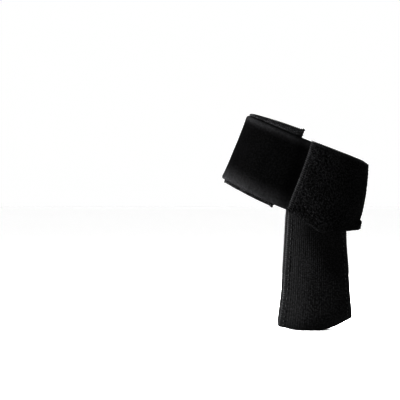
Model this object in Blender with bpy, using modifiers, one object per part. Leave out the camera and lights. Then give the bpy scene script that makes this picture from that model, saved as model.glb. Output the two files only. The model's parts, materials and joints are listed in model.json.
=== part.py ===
"""Soft ankle foot orthosis: a padded heel stirrup sewn to a rear cuff, closed round the front of the ankle.

The brace is modelled empty but in the shape it has when it is worn and closed. The toes point to -X, the
heel to +X, the outer (lateral) side of the ankle to -Y, and the brace stands on its stirrup at z = 0.

Cuff pieces lie on "the leg": rounded sections square to a shin that leans back. A place on the leg is
    turn   radians round the leg, 0 at the Achilles, 90 degrees lateral, 180 at the shin, 270 medial
    down   metres below the cuff's top edge, along the shin
    out    metres outside the wearer's sock
Stirrup pieces lie on a U-shaped band under the heel whose top ends run in between the cuff's layers.
"""

import math

import bmesh
import bpy
from mathutils import Vector

# ---- driving dimensions, in metres and radians ----
GAP = 0.0003  # between neighbouring pieces that only touch
LAYER_GAP = 0.0006  # between the stirrup's curved layers
SEAM_GAP = 0.0004  # half of the split that a folding line leaves in a strap

CUFF_TOP = Vector((-0.00175, 0.0, 0.1465))  # middle of the cuff's top edge
SHIN_LEAN = math.radians(21.0)
UP_SHIN = Vector((math.sin(SHIN_LEAN), 0.0, math.cos(SHIN_LEAN)))
BACKWARD = Vector((math.cos(SHIN_LEAN), 0.0, -math.sin(SHIN_LEAN)))
MEDIAL = Vector((0.0, 1.0, 0.0))

SHIN_FRONT = -0.0427  # the sock's front, from the shin line
CALF_BACK = 0.0425  # the sock's back at the cuff's top edge
CALF_FLARE = 0.30  # how fast the back moves out on the way down
CALF_BEND = 1.8  # and how fast that flare dies away
ANKLE_HALF_WIDTH = 0.0315
MALLEOLUS_FLARE = 0.060
SECTION_POWER = 2.4  # 2 is an ellipse, more is boxier
EGG = 0.06  # how much narrower the section is at the Achilles

LINING_THICKNESS = 0.0008
CUFF_FOAM_THICKNESS = 0.0047
FACE_THICKNESS = 0.0016
PAD_FACE_THICKNESS = 0.0008
PAD_FOAM_THICKNESS = 0.0022
WEB_THICKNESS = 0.0024
HOOK_THICKNESS = 0.0010
STIRRUP_THICKNESS = 0.0020
STIRRUP_FOAM_THICKNESS = 0.0021

LINING_OUT = LINING_THICKNESS / 2
CUFF_FOAM_OUT = LINING_THICKNESS + GAP + CUFF_FOAM_THICKNESS / 2
STIRRUP_OUT = 0.0058  # the stirrup strap's outer face, where it runs up inside the cuff
FACE_OUT = 0.0070
FACE_OUTSIDE = FACE_OUT + FACE_THICKNESS / 2
PAD_FOAM_OUT = 0.0023
PAD_FACE_OUT = 0.0042
ANCHOR_OUT = 0.0048  # front strap where it is sewn in under the cuff's edge
STRAP_OVER_PAD_OUT = 0.0062
HOOK_OUT = FACE_OUTSIDE + 0.0004 + HOOK_THICKNESS / 2
STRAP_CLOSED_OUT = HOOK_OUT + HOOK_THICKNESS / 2 + 0.0004 + WEB_THICKNESS / 2

OVERLOCK_RADIUS = 0.0011
HEM_RADIUS = 0.0019
HEM_PROUD = 0.0012  # the hem's centre outside the cuff face's middle
BINDING_PROUD = 0.0004
CUFF_TOP_EDGE = 0.0025
CUFF_BOTTOM_EDGE = 0.0545
CUFF_REAR_LIFT = 0.0060  # the bottom edge is this much higher behind the heel cord

SEAM_AT = 0.0034  # lateral edge of the cuff, behind the shin line, at its top
SEAM_SLOPE = 0.0488  # how far that edge drifts back on the way down
BINDING_WIDTH = 2 * OVERLOCK_RADIUS + GAP
MEDIAL_EDGE_BACK = 0.0045  # the cuff's medial edge lies this much further back
HINGE_AHEAD = 0.0009  # fold of the front strap, ahead of the cuff's lateral edge
ANCHOR_LENGTH = 0.0150
ANCHOR_BOTTOM = 0.0435
FOLD_TURN = math.radians(222.0)
PAD_MEDIAL_TURN = math.radians(213.0)
PAD_END_TOP = -0.0050  # lateral end of the front pad, behind the shin line, at its top
PAD_END_SLOPE = -0.030
TAB_AT = 0.0118  # fold of the hook tab, just behind the cuff's medial edge
TAB_LENGTH = 0.0400
TAB_TAPER = 0.0100  # of each edge, over the tab's last stretch
TAB_TAPER_FROM = 0.55
HOOK_TOP = 0.0065
HOOK_BOTTOM = 0.0465
HOOK_SPAN = (0.04, 0.80)  # of the tab's length

STIRRUP_FRONT = -0.0228  # front edge of the stirrup at the floor
STIRRUP_FRONT_SLOPE = 0.062
STIRRUP_REAR = 0.0322
STIRRUP_REAR_SLOPE = -0.055
STIRRUP_TOP_FRONT = 0.0910
STIRRUP_TOP_REAR = 0.0970
STIRRUP_LINING_TOP_FRONT = 0.0895
STIRRUP_LINING_TOP_REAR = 0.0735
SOLE_FLAT_FRONT = -0.0170
SOLE_FLAT_REAR = 0.0130
SOLE_FRONT_RISE = 0.0015
SOLE_REAR_RISE = 0.0098
SOLE_FLAT_HALF_WIDTH = 0.0170
HEEL_CORNER_HEIGHT = 0.0270
HEEL_HALF_WIDTH = 0.0367
HEEL_SIDE_FLARE = 0.030
HEEL_ROUND_FROM = -0.0020
HEEL_BACK = 0.0465
HEEL_POWER = 2.1
BLEND_LOW = 0.0950  # further down than this the stirrup follows the heel
BLEND_HIGH = 0.0600  # and less far down than this it follows the leg
EASE_FROM_DOWN = 0.0585
REARMOST_SHARE = 0.95  # of the leg's half depth: the stirrup curves in no further than that
EASE_FROM_SHARE = 0.65  # and eases off from here
SOLE_SHARE = 0.14  # of the stirrup's half length, up to the corner
CORNER_SHARE = 0.38  # and up to the end of the corner
FOAM_INSET = 0.0030
STITCH_DEPTH = 0.0012

# ---- collections and materials ----
PARTS_NAME = "ankle_foot_orthosis"


def clear_scene():
    for item in list(bpy.data.objects):
        bpy.data.objects.remove(item, do_unlink=True)
    for collection in list(bpy.data.collections):
        bpy.data.collections.remove(collection)


def new_collection(name):
    collection = bpy.data.collections.new(name)
    bpy.context.scene.collection.children.link(collection)
    return collection


def material(name, color, roughness):
    made = bpy.data.materials.get(name)
    if made is None:
        made = bpy.data.materials.new(name)
        made.use_nodes = True
        shader = made.node_tree.nodes["Principled BSDF"]
        shader.inputs["Base Color"].default_value = (*color, 1.0)
        shader.inputs["Roughness"].default_value = roughness
        shader.inputs["Metallic"].default_value = 0.0
    return made


def loop_fabric():
    return material("loop_fabric", (0.020, 0.020, 0.021), 0.95)


def nylon_jersey():
    return material("nylon_jersey", (0.018, 0.018, 0.020), 0.60)


def ribbed_webbing():
    return material("ribbed_webbing", (0.013, 0.013, 0.014), 0.85)


def neoprene_foam():
    return material("neoprene_foam", (0.030, 0.030, 0.031), 0.90)


def brushed_lining():
    return material("brushed_lining", (0.035, 0.035, 0.037), 0.95)


def overlock_thread():
    return material("overlock_thread", (0.028, 0.028, 0.030), 0.75)


def hook_tape():
    return material("hook_tape", (0.015, 0.015, 0.016), 0.70)


# ---- the leg ----
def smooth_step(value, start, end):
    share = min(1.0, max(0.0, (value - start) / (end - start)))
    return share * share * (3.0 - 2.0 * share)


def mix(first, second, share):
    return first + (second - first) * share


def leg_section(down, out):
    """Middle, half depth and half width of the leg's section, grown by out."""
    back = CALF_BACK + CALF_FLARE * down - CALF_BEND * down * down
    middle = (back + SHIN_FRONT) / 2
    half_depth = (back - SHIN_FRONT) / 2 + out
    half_width = ANKLE_HALF_WIDTH + MALLEOLUS_FLARE * down + out
    return middle, half_depth, half_width


def section_width(share, half_width):
    """Half width where the section is `share` of its half depth behind its middle."""
    roundness = max(0.0, 1.0 - abs(share) ** SECTION_POWER) ** (1.0 / SECTION_POWER)
    return half_width * (1.0 - EGG * share) * roundness


def leg_point(turn, down, out):
    middle, half_depth, half_width = leg_section(down, out)
    share = math.cos(turn)
    side = -1.0 if math.sin(turn) > 0.0 else 1.0
    behind = middle + half_depth * share
    across = side * section_width(share, half_width)
    return CUFF_TOP - UP_SHIN * down + BACKWARD * behind + MEDIAL * across


def lateral_turn(behind, down, out):
    """The turn on the lateral side of the line that lies `behind` the shin line."""
    middle, half_depth, _ = leg_section(down, out)
    return math.acos((behind - middle) / half_depth)


def medial_turn(behind, down, out):
    return 2 * math.pi - lateral_turn(behind, down, out)


def seam_behind(down):
    return SEAM_AT + SEAM_SLOPE * down


def hinge_behind(down):
    return seam_behind(down) - HINGE_AHEAD


def tab_behind(down):
    return TAB_AT + SEAM_SLOPE * down


# ---- shapes ----
def sheet(name, made_of, cells, place, thickness, side=0.0):
    """A layer of cloth or foam. place maps (0..1, 0..1) to the layer's middle surface, or to the face
    that side=1 or side=-1 keeps."""
    mesh = bpy.data.meshes.new(name)
    grid = bmesh.new()
    bmesh.ops.create_grid(grid, x_segments=cells[0], y_segments=cells[1], size=0.5)
    for vertex in grid.verts:
        vertex.co = place(vertex.co.x + 0.5, vertex.co.y + 0.5)
    grid.to_mesh(mesh)
    grid.free()
    mesh.shade_smooth()
    mesh.set_sharp_from_angle(angle=math.radians(50.0))
    piece = bpy.data.objects.new(name, mesh)
    solid = piece.modifiers.new("thickness", "SOLIDIFY")
    solid.thickness = thickness
    solid.offset = side
    solid.use_even_offset = True
    return finish_piece(piece, made_of)


def bead(name, made_of, points, radius):
    """A rounded cord of overlock thread or binding through the points."""
    curve = bpy.data.curves.new(name, "CURVE")
    curve.dimensions = "3D"
    curve.bevel_depth = radius
    curve.bevel_resolution = 2
    curve.use_fill_caps = True
    spline = curve.splines.new("POLY")
    spline.points.add(len(points) - 1)
    for knot, point in zip(spline.points, points):
        knot.co = (*point, 1.0)
    return finish_piece(bpy.data.objects.new(name, curve), made_of)


def finish_piece(piece, made_of):
    piece.data.materials.append(made_of)
    bpy.data.collections[PARTS_NAME].objects.link(piece)
    return piece


def steps(count):
    return [index / count for index in range(count + 1)]


# ---- rear cuff ----
def cuff_turn(share, down, out, trim=0.0):
    """Round the back of the leg, from the lateral edge (0) to the medial edge (1)."""
    start = lateral_turn(seam_behind(down) + BINDING_WIDTH + trim, down, out)
    end = -lateral_turn(seam_behind(down) + MEDIAL_EDGE_BACK + BINDING_WIDTH + trim, down, out)
    return mix(start, end, share)


def cuff_bottom(turn):
    return CUFF_BOTTOM_EDGE - CUFF_REAR_LIFT * max(0.0, math.cos(turn)) ** 3


def cuff_point(along, height, out):
    bottom = cuff_bottom(cuff_turn(along, CUFF_BOTTOM_EDGE, out))
    down = mix(bottom, CUFF_TOP_EDGE, height)
    return leg_point(cuff_turn(along, down, out), down, out)


def rear_cuff_face():
    def place(along, height):
        return cuff_point(along, height, FACE_OUT)

    return sheet("rear_cuff_face", loop_fabric(), (26, 6), place, FACE_THICKNESS)


def rear_cuff_lining():
    def place(along, height):
        return cuff_point(along, height, LINING_OUT)

    return sheet("rear_cuff_lining", brushed_lining(), (26, 5), place, LINING_THICKNESS)


def stirrup_end_down(behind, clear):
    """How far down the stirrup's top ends lie, less a clearance."""
    top = min(STIRRUP_TOP_FRONT, STIRRUP_TOP_REAR) + (STIRRUP_TOP_REAR - STIRRUP_TOP_FRONT)
    drop = CUFF_TOP.z - top + BACKWARD.z * behind
    return drop / UP_SHIN.z - clear


def rear_cuff_foam():
    """Foam over the stirrup's ends, from behind the sewn-in front strap to the medial edge."""

    def place(along, height):
        down = 0.0
        for _ in range(6):  # the lower edge follows the stirrup's ends, so turn and down settle together
            start = lateral_turn(hinge_behind(down) + ANCHOR_LENGTH + 0.0015, down, CUFF_FOAM_OUT)
            end = cuff_turn(1.0, down, CUFF_FOAM_OUT, trim=0.001)
            turn = mix(start, end, along)
            middle, half_depth, _ = leg_section(down, CUFF_FOAM_OUT)
            bottom = stirrup_end_down(middle + half_depth * math.cos(turn), clear=0.0015)
            down = mix(bottom, CUFF_TOP_EDGE, height)
        return leg_point(turn, down, CUFF_FOAM_OUT)

    return sheet("rear_cuff_foam", neoprene_foam(), (22, 4), place, CUFF_FOAM_THICKNESS)


def achilles_foam():
    """The piece of foam behind the heel cord, between the stirrup's two ends."""
    half_turn = math.radians(17.0)
    top = stirrup_end_down(CALF_BACK + 0.012, clear=0.0015) + 0.0015

    def place(along, height):
        turn = mix(half_turn, -half_turn, along)
        down = mix(cuff_bottom(turn) - 0.001, top, height)
        return leg_point(turn, down, CUFF_FOAM_OUT)

    return sheet("achilles_foam", neoprene_foam(), (6, 3), place, CUFF_FOAM_THICKNESS)


def rear_cuff_top_binding():
    down = CUFF_TOP_EDGE - GAP - OVERLOCK_RADIUS
    points = [leg_point(cuff_turn(share, down, FACE_OUT), down, FACE_OUT) for share in steps(30)]
    return bead("rear_cuff_top_binding", overlock_thread(), points, OVERLOCK_RADIUS)


def rear_cuff_bottom_hem():
    out = FACE_OUT + HEM_PROUD
    points = []
    for share in steps(30):
        turn = cuff_turn(share, CUFF_BOTTOM_EDGE, out)
        points.append(leg_point(turn, cuff_bottom(turn) + GAP + HEM_RADIUS, out))
    return bead("rear_cuff_bottom_hem", loop_fabric(), points, HEM_RADIUS)


def cuff_side_points(turn_of):
    out = FACE_OUT + BINDING_PROUD
    downs = [mix(CUFF_TOP_EDGE, CUFF_BOTTOM_EDGE, share) for share in steps(8)]
    return [leg_point(turn_of(down, out), down, out) for down in downs]


def rear_cuff_lateral_binding():
    def turn_of(down, out):
        return lateral_turn(seam_behind(down) + OVERLOCK_RADIUS, down, out)

    return bead("rear_cuff_lateral_binding", overlock_thread(), cuff_side_points(turn_of), OVERLOCK_RADIUS)


def rear_cuff_medial_binding():
    def turn_of(down, out):
        return medial_turn(seam_behind(down) + MEDIAL_EDGE_BACK + OVERLOCK_RADIUS, down, out)

    points = [point - MEDIAL * BINDING_PROUD for point in cuff_side_points(turn_of)]
    return bead("rear_cuff_medial_binding", overlock_thread(), points, OVERLOCK_RADIUS)


# ---- stirrup ----
def sole_height(forward):
    """Height of the stirrup's underside where it passes under the heel."""
    if forward > SOLE_FLAT_REAR:
        share = (forward - SOLE_FLAT_REAR) / (STIRRUP_REAR - SOLE_FLAT_REAR)
        return SOLE_REAR_RISE * share**1.7
    if forward < SOLE_FLAT_FRONT:
        share = (SOLE_FLAT_FRONT - forward) / (SOLE_FLAT_FRONT - STIRRUP_FRONT)
        return SOLE_FRONT_RISE * share**1.5
    return 0.0


def stirrup_forward(across, height, inset):
    front = STIRRUP_FRONT + STIRRUP_FRONT_SLOPE * height + inset
    rear = STIRRUP_REAR + STIRRUP_REAR_SLOPE * height - inset
    return mix(front, rear, across)


def heel_half_width(forward, height):
    share = max(0.0, (forward - HEEL_ROUND_FROM) / (HEEL_BACK - HEEL_ROUND_FROM))
    roundness = (1.0 - share**HEEL_POWER) ** (1.0 / HEEL_POWER)
    return (HEEL_HALF_WIDTH + HEEL_SIDE_FLARE * (height - HEEL_CORNER_HEIGHT)) * roundness


def ease_off(share, down):
    """Below the cuff the stirrup stops short of the leg's narrow back and heads for the heel."""
    if share < EASE_FROM_SHARE:
        return share
    room = REARMOST_SHARE - EASE_FROM_SHARE
    eased = EASE_FROM_SHARE + room * math.tanh((share - EASE_FROM_SHARE) / room)
    return mix(share, eased, smooth_step(down, EASE_FROM_DOWN, BLEND_HIGH + 0.02))


def side_half_width(forward, height):
    """Half width of the stirrup's outer face: the heel's below, the leg's above, smooth between."""
    place = Vector((forward, 0.0, height)) - CUFF_TOP
    down = -place.dot(UP_SHIN)
    middle, half_depth, half_width = leg_section(down, STIRRUP_OUT)
    share = ease_off((place.dot(BACKWARD) - middle) / half_depth, down)
    on_leg = section_width(share, half_width)
    return mix(on_leg, heel_half_width(forward, height), smooth_step(down, BLEND_HIGH, BLEND_LOW))


def stirrup_outer(across, along, inset, tops):
    """The stirrup's outer face. along runs from -1, the lateral top, through 0 under the heel, to 1."""
    side = -1.0 if along < 0.0 else 1.0
    reach = abs(along)
    if reach < CORNER_SHARE:
        forward = stirrup_forward(across, 0.0, inset)
        sole = sole_height(forward)
        corner_forward = stirrup_forward(across, HEEL_CORNER_HEIGHT, inset)
        wide = side_half_width(corner_forward, HEEL_CORNER_HEIGHT)
        flat = SOLE_FLAT_HALF_WIDTH * wide / HEEL_HALF_WIDTH
        if reach < SOLE_SHARE:
            return Vector((forward, side * flat * reach / SOLE_SHARE, sole))
        turn = (reach - SOLE_SHARE) / (CORNER_SHARE - SOLE_SHARE) * math.pi / 2
        rise = 1.0 - math.cos(turn)
        return Vector(
            (
                mix(forward, corner_forward, rise),
                side * mix(flat, wide, math.sin(turn)),
                mix(sole, HEEL_CORNER_HEIGHT, rise),
            )
        )
    height = mix(HEEL_CORNER_HEIGHT, mix(*tops, across), (reach - CORNER_SHARE) / (1.0 - CORNER_SHARE))
    forward = stirrup_forward(across, height, inset)
    return Vector((forward, side * side_half_width(forward, height), height))


def stirrup_point(across, along, depth, inset, tops):
    """A point `depth` inside the stirrup's outer face."""
    small = 0.0005
    ahead = stirrup_outer(across + small, along, inset, tops) - stirrup_outer(across - small, along, inset, tops)
    up = stirrup_outer(across, along + small, inset, tops) - stirrup_outer(across, along - small, inset, tops)
    inward = ahead.cross(up).normalized()
    return stirrup_outer(across, along, inset, tops) + inward * depth


def stirrup_layer(name, made_of, depth, thickness, inset, tops):
    def place(across, along):
        return stirrup_point(across, 2.0 * along - 1.0, depth, inset, tops)

    return sheet(name, made_of, (8, 44), place, thickness)


def stirrup_strap():
    tops = (STIRRUP_TOP_FRONT, STIRRUP_TOP_REAR)
    inset = BINDING_WIDTH
    return stirrup_layer(
        "stirrup_strap", ribbed_webbing(), STIRRUP_THICKNESS / 2, STIRRUP_THICKNESS, inset, tops
    )


def stirrup_foam():
    tops = (STIRRUP_TOP_FRONT - 0.001, STIRRUP_TOP_REAR - 0.001)
    depth = STIRRUP_THICKNESS + LAYER_GAP + STIRRUP_FOAM_THICKNESS / 2
    return stirrup_layer("stirrup_foam", neoprene_foam(), depth, STIRRUP_FOAM_THICKNESS, FOAM_INSET, tops)


def stirrup_lining():
    tops = (STIRRUP_LINING_TOP_FRONT, STIRRUP_LINING_TOP_REAR)
    depth = STIRRUP_THICKNESS + STIRRUP_FOAM_THICKNESS + 2 * LAYER_GAP + LINING_THICKNESS / 2
    return stirrup_layer("stirrup_lining", brushed_lining(), depth, LINING_THICKNESS, FOAM_INSET, tops)


def stirrup_edge_points(across, inset):
    tops = (STIRRUP_TOP_FRONT - 0.001, STIRRUP_TOP_REAR - 0.001)
    alongs = [2.0 * share - 1.0 for share in steps(44)]
    return [stirrup_point(across, along, STITCH_DEPTH, inset, tops) for along in alongs]


def stirrup_front_overlock():
    points = stirrup_edge_points(0.0, OVERLOCK_RADIUS)
    return bead("stirrup_front_overlock", overlock_thread(), points, OVERLOCK_RADIUS)


def stirrup_rear_overlock():
    points = stirrup_edge_points(1.0, OVERLOCK_RADIUS)
    return bead("stirrup_rear_overlock", overlock_thread(), points, OVERLOCK_RADIUS)


# ---- front strap and its pad ----
def strap_edges(turn):
    """Top and bottom edge of the front strap: narrowest over the shin."""
    side = math.sin(turn) ** 2
    spread = 0.0070 if math.sin(turn) > 0.0 else 0.0035
    return 0.0003 + 0.0010 * side, 0.0493 + spread * side


def strap_out(turn):
    """The strap's middle: low where it is sewn in, over the pad in front, over the cuff when closed."""
    over_pad = smooth_step(turn, math.radians(90.0), math.radians(101.0))
    over_cuff = smooth_step(turn, math.radians(232.0), math.radians(266.0))
    return mix(mix(ANCHOR_OUT, STRAP_OVER_PAD_OUT, over_pad), STRAP_CLOSED_OUT, over_cuff)


def strap_section(name, cells, start_of, end_of, margin=0.0):
    """A length of the front strap between two turns, each a function of down."""

    def place(along, height):
        turn = mix(start_of(0.028), end_of(0.028), along)
        top, bottom = strap_edges(turn)
        down = mix(bottom - margin, top + margin, height)
        turn = mix(start_of(down), end_of(down), along)
        return leg_point(turn, down, strap_out(turn))

    return sheet(name, nylon_jersey(), cells, place, WEB_THICKNESS)


def arc_turn(length, out=0.0):
    """About how far a short length goes round the leg."""
    return length / (ANKLE_HALF_WIDTH + 0.010 + out)


def front_strap_start(down):
    return lateral_turn(hinge_behind(down), down, ANCHOR_OUT) + arc_turn(SEAM_GAP)


def front_strap_end(_down):
    return FOLD_TURN - arc_turn(SEAM_GAP)


def closing_strap_start(_down):
    return FOLD_TURN + arc_turn(SEAM_GAP)


def closing_strap_end(down):
    return medial_turn(tab_behind(down), down, STRAP_CLOSED_OUT) - arc_turn(SEAM_GAP)


def front_strap_web():
    return strap_section("front_strap_web", (20, 6), front_strap_start, front_strap_end)


def closing_strap_web():
    return strap_section("closing_strap_web", (12, 6), closing_strap_start, closing_strap_end)


def front_strap_anchor():
    """The end of the front strap, sewn in between the cuff's face and its lining."""

    def place(along, height):
        down = mix(ANCHOR_BOTTOM, CUFF_TOP_EDGE, height)
        behind = mix(hinge_behind(down) + ANCHOR_LENGTH, hinge_behind(down) + SEAM_GAP, along)
        return leg_point(lateral_turn(behind, down, ANCHOR_OUT), down, ANCHOR_OUT)

    return sheet("front_strap_anchor", nylon_jersey(), (4, 4), place, WEB_THICKNESS)


def pad_edges(turn):
    side = math.sin(turn) ** 2
    return -0.0000 - 0.0022 * side, 0.0510 + 0.0048 * side


def pad_turn(along, down):
    end_behind = PAD_END_TOP + PAD_END_SLOPE * down
    lateral_end = lateral_turn(end_behind - BINDING_WIDTH, down, PAD_FACE_OUT)
    return mix(lateral_end, PAD_MEDIAL_TURN, along)


def pad_point(along, height, out):
    top, bottom = pad_edges(pad_turn(along, 0.028))
    down = mix(bottom, top, height)
    return leg_point(pad_turn(along, down), down, out)


def pad_layer(name, made_of, out, thickness):
    def place(along, height):
        return pad_point(along, height, out)

    return sheet(name, made_of, (18, 6), place, thickness)


def front_pad_face():
    return pad_layer("front_pad_face", loop_fabric(), PAD_FACE_OUT, PAD_FACE_THICKNESS)


def front_pad_foam():
    return pad_layer("front_pad_foam", neoprene_foam(), PAD_FOAM_OUT, PAD_FOAM_THICKNESS)


def front_pad_lining():
    return pad_layer("front_pad_lining", brushed_lining(), LINING_OUT, LINING_THICKNESS)


def front_pad_edge_overlock(name, height, beyond):
    """Overlock along the pad's top (height 1) or bottom (height 0) edge, `beyond` it."""
    points = []
    for share in steps(22):
        top, bottom = pad_edges(pad_turn(share, 0.028))
        down = mix(bottom, top, height) + beyond
        points.append(leg_point(pad_turn(share, down), down, PAD_FOAM_OUT))
    return bead(name, overlock_thread(), points, OVERLOCK_RADIUS)


def front_pad_end_overlock(name, along, beyond_turn):
    points = []
    for share in steps(8):
        top, bottom = pad_edges(pad_turn(along, 0.028))
        down = mix(bottom, top, share)
        points.append(leg_point(pad_turn(along, down) + beyond_turn, down, PAD_FOAM_OUT))
    return bead(name, overlock_thread(), points, OVERLOCK_RADIUS)


def front_pad_overlocks():
    beyond = GAP + OVERLOCK_RADIUS
    return [
        front_pad_edge_overlock("front_pad_top_overlock", 1.0, -beyond),
        front_pad_edge_overlock("front_pad_bottom_overlock", 0.0, beyond),
        front_pad_end_overlock("front_pad_lateral_overlock", 0.0, -arc_turn(beyond)),
        front_pad_end_overlock("front_pad_medial_overlock", 1.0, arc_turn(beyond)),
    ]


# ---- hook tab ----
def tab_turn(along, down):
    """Along the hook tab, from its fold (0) to its free end (1)."""
    start = medial_turn(tab_behind(down), down, STRAP_CLOSED_OUT) + arc_turn(SEAM_GAP)
    return start + arc_turn(TAB_LENGTH, STRAP_CLOSED_OUT / 2) * along


def tab_edges(along):
    """The tab carries the strap's edges on and narrows towards a rounded free end."""
    past = max(0.0, along - TAB_TAPER_FROM) / (1.0 - TAB_TAPER_FROM)
    taper = TAB_TAPER * (1.0 - math.sqrt(1.0 - past * past))
    top, bottom = strap_edges(tab_turn(along, 0.028))
    return top + taper, bottom - taper


def hook_tab_web():
    def place(along, height):
        top, bottom = tab_edges(0.98 * along)
        down = mix(bottom, top, height)
        return leg_point(tab_turn(along, down), down, STRAP_CLOSED_OUT)

    return sheet("hook_tab_web", nylon_jersey(), (12, 6), place, WEB_THICKNESS)


def hook_patch():
    def place(along, height):
        down = mix(HOOK_BOTTOM, HOOK_TOP, height)
        return leg_point(tab_turn(mix(*HOOK_SPAN, along), down), down, HOOK_OUT)

    return sheet("hook_patch", hook_tape(), (10, 4), place, HOOK_THICKNESS)


def hook_tab_end_binding():
    top, bottom = tab_edges(0.98)
    beyond = arc_turn(GAP + OVERLOCK_RADIUS)
    points = []
    for share in steps(6):
        down = mix(top, bottom, share)
        points.append(leg_point(tab_turn(1.0, down) + beyond, down, STRAP_CLOSED_OUT))
    return bead("hook_tab_end_binding", overlock_thread(), points, OVERLOCK_RADIUS)


# ---- joints ----
def hinge_line(turn_of, outside, high=0.002, low=0.052):
    """A fold's straight line: its middle and its direction up the leg."""
    top = leg_point(turn_of(high), high, outside)
    bottom = leg_point(turn_of(low), low, outside)
    return (top + bottom) / 2, (top - bottom).normalized()


def hinge_empty(name, line, parent):
    """An empty on a fold, its Z axis along the fold, that carries the pieces that move with it."""
    middle, direction = line
    hinge = bpy.data.objects.new(name, None)
    hinge.empty_display_size = 0.02
    hinge.rotation_mode = "QUATERNION"
    bpy.data.collections[PARTS_NAME].objects.link(hinge)
    hinge.rotation_quaternion = direction.to_track_quat("Z", "Y")
    hinge.location = middle
    bpy.context.view_layer.update()
    carry(parent, [hinge])
    return hinge


def carry(parent, pieces):
    for piece in pieces:
        if parent is not None:
            piece.parent = parent
            piece.matrix_parent_inverse = parent.matrix_world.inverted()
    bpy.context.view_layer.update()


def front_strap_line():
    outside = ANCHOR_OUT + WEB_THICKNESS / 2
    return hinge_line(lambda down: lateral_turn(hinge_behind(down), down, ANCHOR_OUT), outside)


def closing_strap_line():
    return hinge_line(lambda _down: FOLD_TURN, STRAP_OVER_PAD_OUT + WEB_THICKNESS / 2)


def hook_tab_line():
    outside = STRAP_CLOSED_OUT + WEB_THICKNESS / 2
    return hinge_line(lambda down: medial_turn(tab_behind(down), down, STRAP_CLOSED_OUT), outside)


def build_brace():
    stirrup_strap()
    stirrup_foam()
    stirrup_lining()
    stirrup_front_overlock()
    stirrup_rear_overlock()
    rear_cuff_face()
    rear_cuff_foam()
    achilles_foam()
    rear_cuff_lining()
    rear_cuff_top_binding()
    rear_cuff_bottom_hem()
    rear_cuff_lateral_binding()
    rear_cuff_medial_binding()
    front_strap_anchor()


def build_front_strap():
    hinge = hinge_empty("front_strap_hinge", front_strap_line(), None)
    pieces = [front_strap_web(), front_pad_face(), front_pad_foam(), front_pad_lining()]
    carry(hinge, pieces + front_pad_overlocks())
    return hinge


def build_closing_strap(front_hinge):
    hinge = hinge_empty("closing_strap_hinge", closing_strap_line(), front_hinge)
    carry(hinge, [closing_strap_web()])
    return hinge


def build_hook_tab(closing_hinge):
    hinge = hinge_empty("hook_tab_hinge", hook_tab_line(), closing_hinge)
    carry(hinge, [hook_tab_web(), hook_patch(), hook_tab_end_binding()])


def main():
    clear_scene()
    new_collection(PARTS_NAME)
    build_brace()
    front_hinge = build_front_strap()
    closing_hinge = build_closing_strap(front_hinge)
    build_hook_tab(closing_hinge)


main()
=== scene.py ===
"""The looks of a soft ankle foot orthosis: a heel stirrup sewn to a padded rear cuff, closed round the front.

Places repeat the CAD model's surfaces: "the leg" (turn round it, metres down it, metres outside it) and the
U-shaped stirrup. Every cloth piece is a closed mesh whose points carry `cloth`, their place on the flat
cloth in metres, so that weave and stitches stay with the cloth when it bends.
"""

import itertools
import json
import math

import bmesh
import bpy
import numpy as np
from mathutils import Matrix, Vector


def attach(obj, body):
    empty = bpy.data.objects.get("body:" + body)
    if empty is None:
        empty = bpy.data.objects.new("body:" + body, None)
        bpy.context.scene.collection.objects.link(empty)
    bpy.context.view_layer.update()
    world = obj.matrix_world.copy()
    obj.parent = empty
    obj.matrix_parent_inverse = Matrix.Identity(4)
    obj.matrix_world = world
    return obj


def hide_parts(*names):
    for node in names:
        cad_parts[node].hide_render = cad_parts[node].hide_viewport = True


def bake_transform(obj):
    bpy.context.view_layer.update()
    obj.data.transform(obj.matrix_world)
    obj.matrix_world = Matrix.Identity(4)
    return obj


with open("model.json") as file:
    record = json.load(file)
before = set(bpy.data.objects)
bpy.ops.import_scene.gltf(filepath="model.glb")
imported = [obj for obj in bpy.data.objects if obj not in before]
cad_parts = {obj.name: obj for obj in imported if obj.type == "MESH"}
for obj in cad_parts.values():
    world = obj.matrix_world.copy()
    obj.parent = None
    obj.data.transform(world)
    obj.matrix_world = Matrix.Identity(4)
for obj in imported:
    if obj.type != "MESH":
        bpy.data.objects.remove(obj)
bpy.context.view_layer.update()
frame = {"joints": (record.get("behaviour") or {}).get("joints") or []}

# ---- the CAD model's driving dimensions, in metres ----
CUFF_TOP = np.array((-0.00175, 0.0, 0.1465))
SHIN_LEAN = math.radians(21.0)
UP_SHIN = np.array((math.sin(SHIN_LEAN), 0.0, math.cos(SHIN_LEAN)))
BACKWARD = np.array((math.cos(SHIN_LEAN), 0.0, -math.sin(SHIN_LEAN)))
MEDIAL = np.array((0.0, 1.0, 0.0))
SHIN_FRONT, CALF_BACK, CALF_FLARE, CALF_BEND = -0.0427, 0.0425, 0.30, 1.8
ANKLE_HALF_WIDTH, MALLEOLUS_FLARE, SECTION_POWER, EGG = 0.0315, 0.060, 2.4, 0.06
STIRRUP_OUT, FACE_OUT, ANCHOR_OUT = 0.0058, 0.0070, 0.0048
STRAP_OVER_PAD_OUT, STRAP_CLOSED_OUT = 0.0062, 0.0108
CUFF_BOTTOM_EDGE, CUFF_REAR_LIFT = 0.0545, 0.0060
SEAM_AT, SEAM_SLOPE, MEDIAL_EDGE_BACK, HINGE_AHEAD = 0.0034, 0.0488, 0.0045, 0.0009
ANCHOR_LENGTH, ANCHOR_BOTTOM = 0.0150, 0.0435
FOLD_TURN, PAD_MEDIAL_TURN = math.radians(222.0), math.radians(213.0)
PAD_END_TOP, PAD_END_SLOPE = -0.0050, -0.030
TAB_AT, TAB_LENGTH, TAB_TAPER, TAB_TAPER_FROM = 0.0118, 0.0400, 0.0100, 0.55
STIRRUP_FRONT, STIRRUP_FRONT_SLOPE = -0.0228, 0.062
STIRRUP_REAR, STIRRUP_REAR_SLOPE = 0.0322, -0.055
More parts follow.
